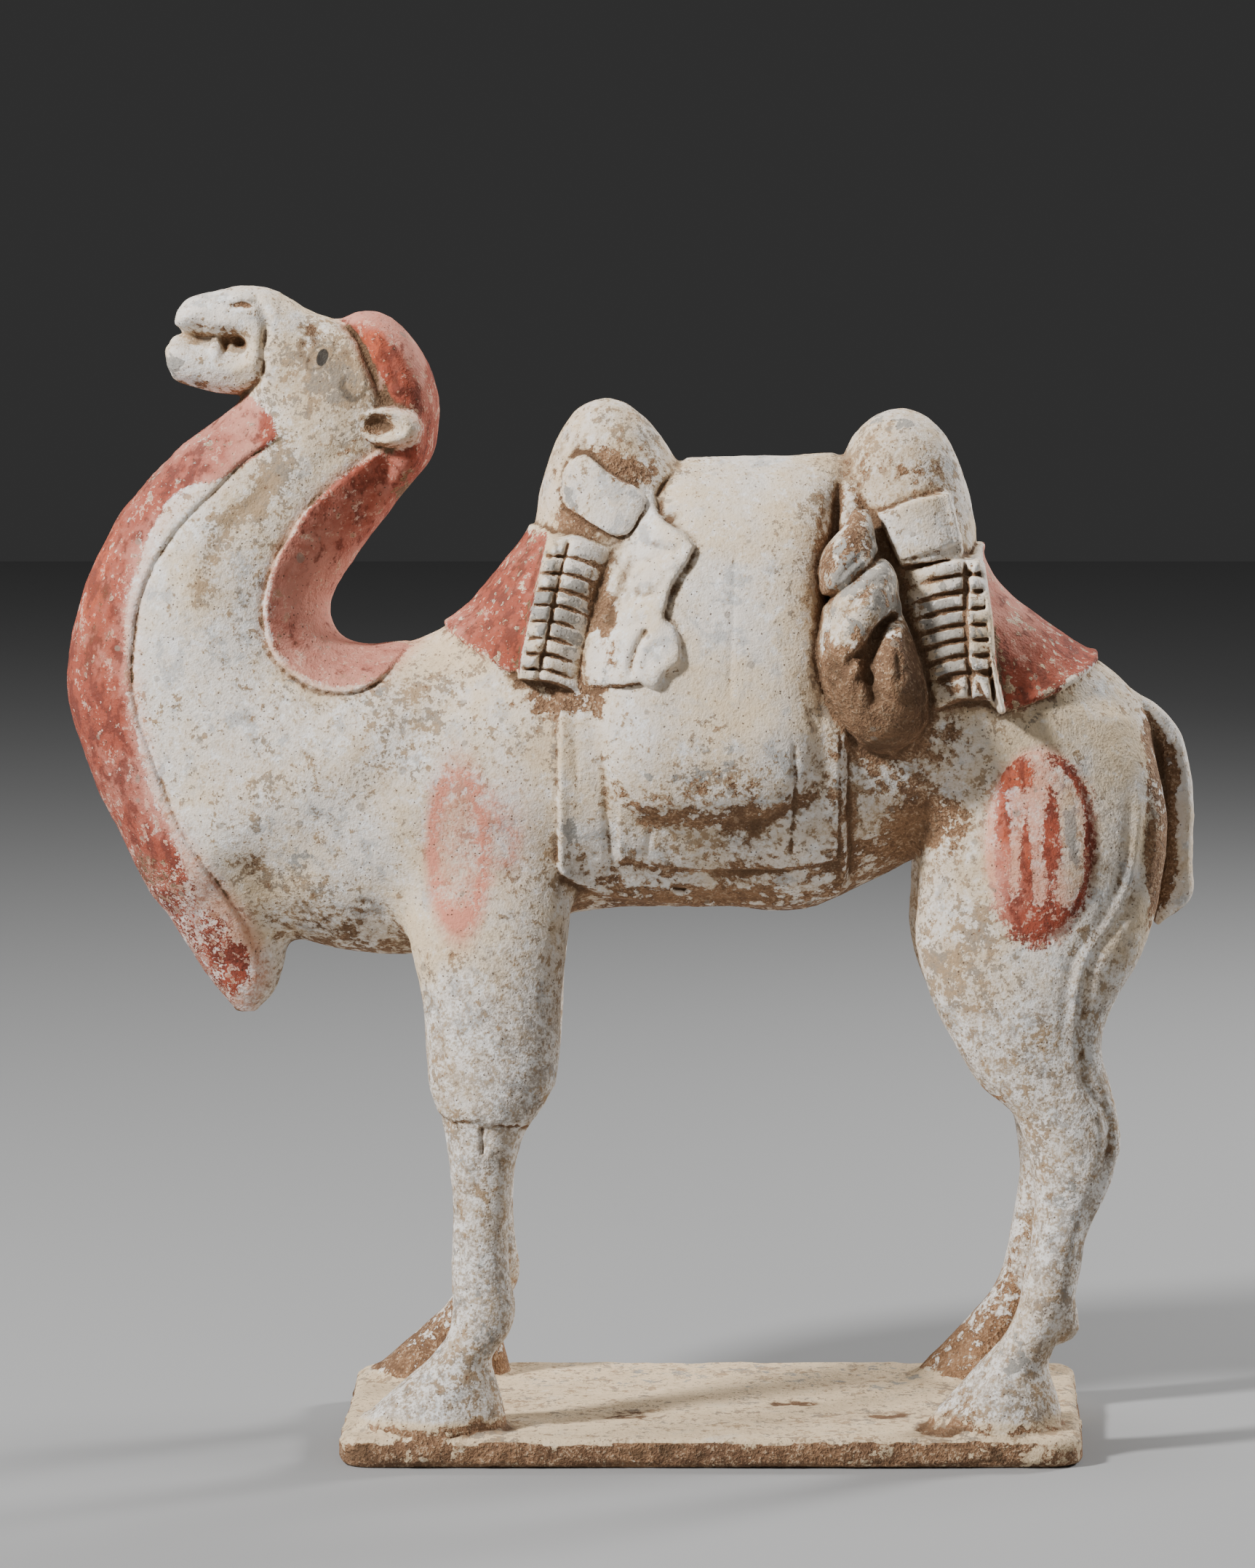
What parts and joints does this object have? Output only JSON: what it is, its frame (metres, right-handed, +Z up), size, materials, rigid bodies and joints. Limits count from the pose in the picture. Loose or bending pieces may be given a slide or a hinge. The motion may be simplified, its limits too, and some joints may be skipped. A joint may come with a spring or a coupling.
{
  "type": "pottery camel figure",
  "caption": "Standing two-humped pack camel of painted terracotta, neck arched and mouth open, with a packed load over its back, on a thin rectangular slab.",
  "frame": {"origin": "middle of the figure's bounding box at the underside of the slab", "axes": "+Z up, the camel faces -X, its left side is at -Y"},
  "size_m": [0.4486, 0.15, 0.4614],
  "materials": {
    "terracotta": "matt fired earthenware with worn white slip and brick-red cold paint"
  },
  "bodies": {
    "root": {"camel_figure": "terracotta"}
  },
  "joints": []
}
